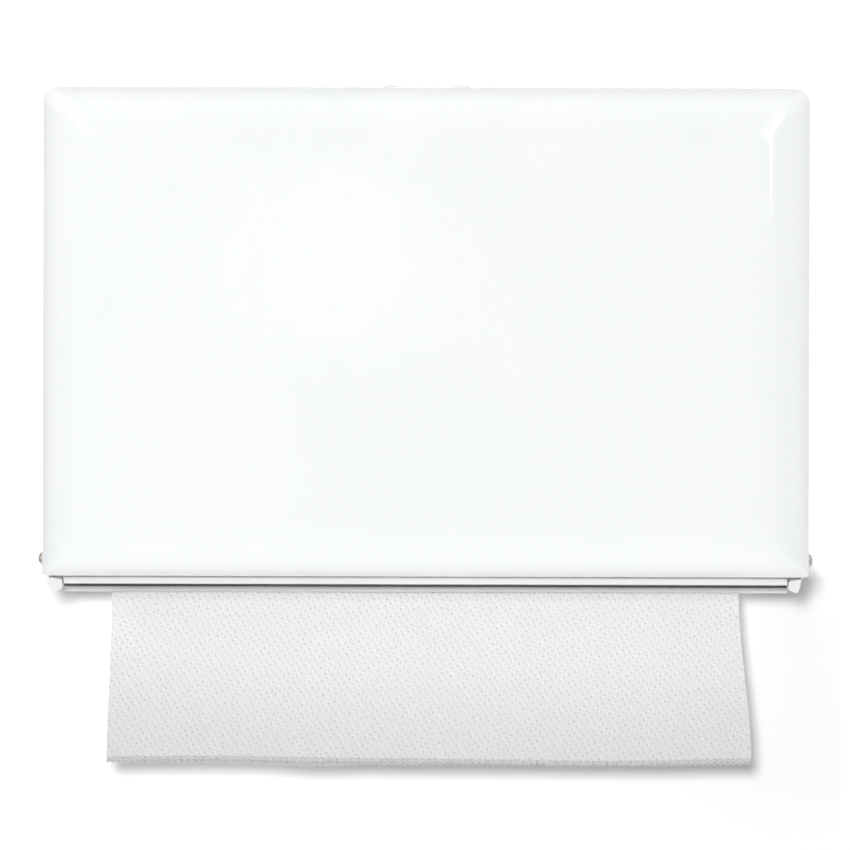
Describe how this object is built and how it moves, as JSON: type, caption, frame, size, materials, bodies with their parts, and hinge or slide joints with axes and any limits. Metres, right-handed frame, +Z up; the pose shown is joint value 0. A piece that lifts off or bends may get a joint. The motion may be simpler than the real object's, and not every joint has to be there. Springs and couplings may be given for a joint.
{
  "type": "paper towel dispenser",
  "caption": "White sheet-steel wall dispenser for single-fold paper towels, with a drop-front cover hinged at the bottom, a cam lock in its top flange and a towel hanging from a slot below.",
  "frame": {"origin": "centre of the rectangle of wall screws, on the back face of the back plate", "axes": "+X to the right seen from the front, +Y into the wall, so the front faces -Y, and +Z up"},
  "size_m": [0.2776, 0.152, 0.2406],
  "materials": {
    "cover_enamel": "gloss enamel",
    "cabinet_enamel": "gloss enamel",
    "zinc_plate": "zinc plated",
    "nickel_plate": "nickel plated",
    "towel_paper": "embossed matt",
    "stack_paper": "embossed matt"
  },
  "bodies": {
    "cabinet": {"back_plate": "cabinet_enamel", "left_side_plate": "cabinet_enamel", "right_side_plate": "cabinet_enamel", "front_tray": "cabinet_enamel", "rear_shelf": "cabinet_enamel", "side_plate_rivets": "zinc_plate", "tray_rivets": "zinc_plate", "shelf_rivets": "zinc_plate", "left_hinge_rivet": "nickel_plate", "right_hinge_rivet": "nickel_plate", "left_hinge_washer": "zinc_plate", "right_hinge_washer": "zinc_plate", "lock_bracket": "zinc_plate", "lock_rivets": "nickel_plate", "lock_barrel": "nickel_plate", "lock_nut": "zinc_plate", "towel_stack": "stack_paper"},
    "cover": {"front_cover": "cover_enamel", "strike_plate": "zinc_plate"},
    "lock": {"lock_plug": "nickel_plate", "lock_cam": "zinc_plate", "cam_screw": "zinc_plate"},
    "towel": {"lead_towel": "towel_paper"}
  },
  "joints": [
    {"name": "cover_hinge", "type": "hinge", "parent": "cabinet", "child": "cover", "pos_m": [0, -0.018, -0.0786], "axis": [1, 0, 0], "range_deg": [0, 90]},
    {"name": "lock_turn", "type": "hinge", "parent": "cabinet", "child": "lock", "pos_m": [0, -0.03, 0.08927], "axis": [0, -0.0454, 0.999], "range_deg": [0, 90]},
    {"name": "towel_pull", "type": "slide", "parent": "cabinet", "child": "towel", "axis": [0, -0.3746, -0.9272], "range_m": [0, 0.045]}
  ]
}
